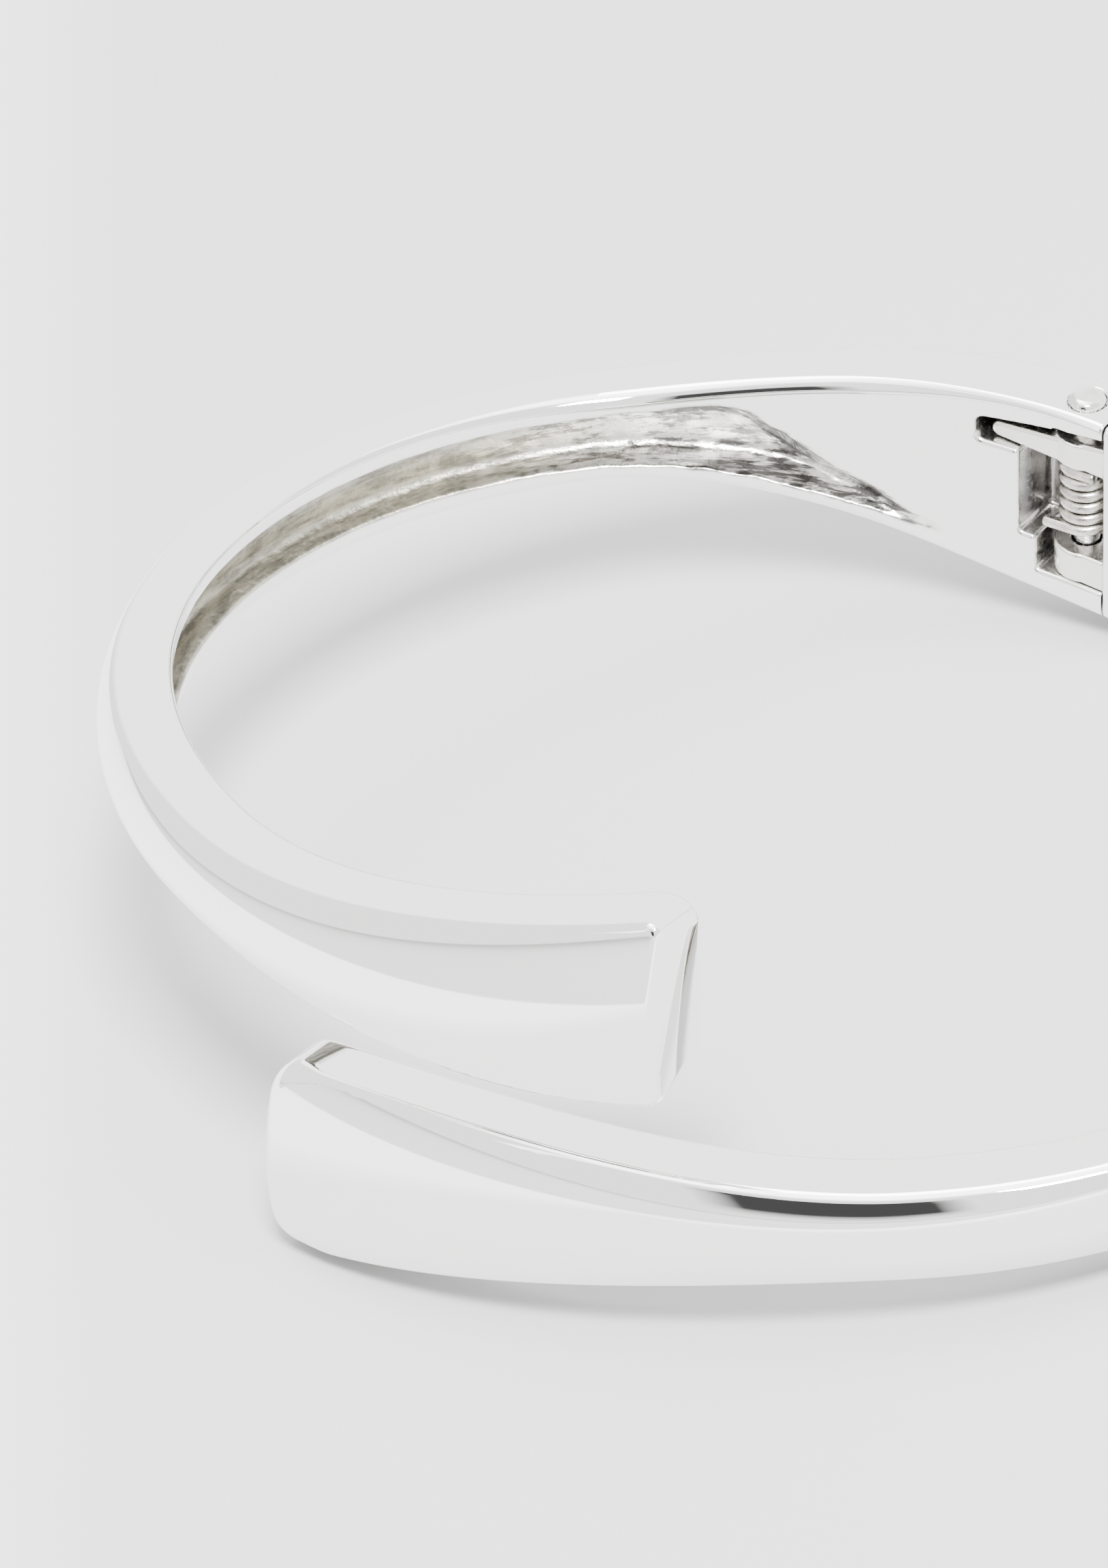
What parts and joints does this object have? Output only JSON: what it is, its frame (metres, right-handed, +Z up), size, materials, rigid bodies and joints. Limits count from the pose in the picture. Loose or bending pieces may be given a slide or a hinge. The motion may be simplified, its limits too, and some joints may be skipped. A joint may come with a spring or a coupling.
{
  "type": "bangle bracelet",
  "caption": "Hinged bypass bangle: two curved polished arms on a sprung hinge, flared flat-cut tips passing each other, open channel inside.",
  "frame": {"origin": "centre of the bounding box on the table that the closed bangle rests on", "axes": "+Z up from the table, hinge at the back towards +Y, tips at the front towards -Y, left arm towards -X; the hinge axis leans 14.8 degrees from +Z because the bangle lies on its lower arm"},
  "size_m": [0.064, 0.0528, 0.0225],
  "materials": {
    "plated_casting": "mirror-polished silver plate outside, plated rough casting in the inner channel",
    "pin_metal": "polished",
    "spring_wire": "drawn spring wire"
  },
  "bodies": {
    "right_half": {"right_arm": "plated_casting"},
    "left_half": {"left_arm": "plated_casting", "hinge_pin": "pin_metal", "torsion_spring": "spring_wire"}
  },
  "joints": [
    {"name": "hinge", "type": "hinge", "parent": "right_half", "child": "left_half", "pos_m": [-0.00226, 0.02378, 0.00692], "axis": [-0.2282, -0.1092, -0.9675], "range_deg": [0, 58], "stiffness_Nm_per_rad": 0.027, "springref_deg": -34.38}
  ]
}
